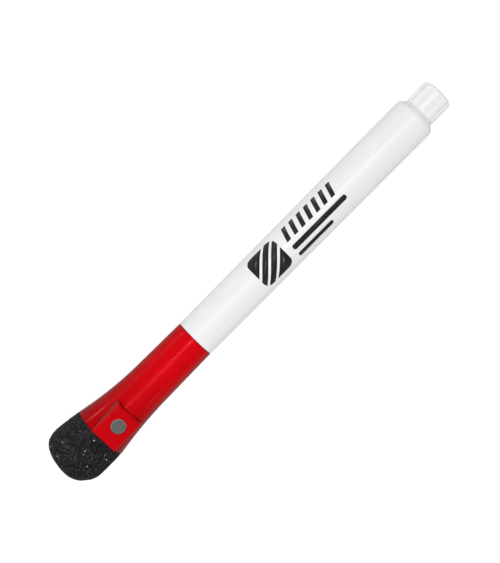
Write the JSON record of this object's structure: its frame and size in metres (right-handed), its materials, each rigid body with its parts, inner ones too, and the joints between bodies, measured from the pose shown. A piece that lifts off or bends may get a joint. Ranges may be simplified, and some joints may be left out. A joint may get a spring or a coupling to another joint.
{
  "type": "whiteboard marker",
  "caption": "Slim round dry-wipe marker, capped, with a felt eraser on the cap's flared crown, a magnet in a flat boss and a fluted rear plug.",
  "frame": {"origin": "on the surface that the marker lies on, under the middle of its length and under its axis", "axes": "+X along the marker from the eraser to the rear plug, +Z out of the magnet's face, +Y completes a right-handed frame"},
  "size_m": [0.135, 0.0161, 0.016],
  "materials": {
    "cap_plastic": "glossy moulded polypropylene, red",
    "soft_liner": "soft translucent polyethylene",
    "magnet": "nickel-plated magnet, satin grey",
    "eraser_felt": "black felt with fine pale flecks",
    "glue": "hot-melt adhesive",
    "barrel_plastic": "glossy moulded polypropylene, white, with a printed mark",
    "holder_plastic": "glossy moulded polypropylene, white",
    "nib_fibre": "ink-soaked acrylic fibre",
    "reservoir_fibre": "ink-soaked polyester fibre",
    "film": "clear polypropylene film",
    "plug_plastic": "natural white polypropylene, satin gloss"
  },
  "bodies": {
    "pen": {"barrel": "barrel_plastic", "nib_holder": "holder_plastic", "nib": "nib_fibre", "reservoir_core": "reservoir_fibre", "reservoir_wrap": "film", "end_plug": "plug_plastic"},
    "cap": {"cap_shell": "cap_plastic", "inner_cap": "soft_liner", "magnet": "magnet", "eraser_pad": "eraser_felt", "eraser_glue": "glue"}
  },
  "joints": [
    {"name": "cap_pull", "type": "slide", "parent": "pen", "child": "cap", "axis": [-1, 0, 0], "range_m": [0, 0.045]}
  ]
}
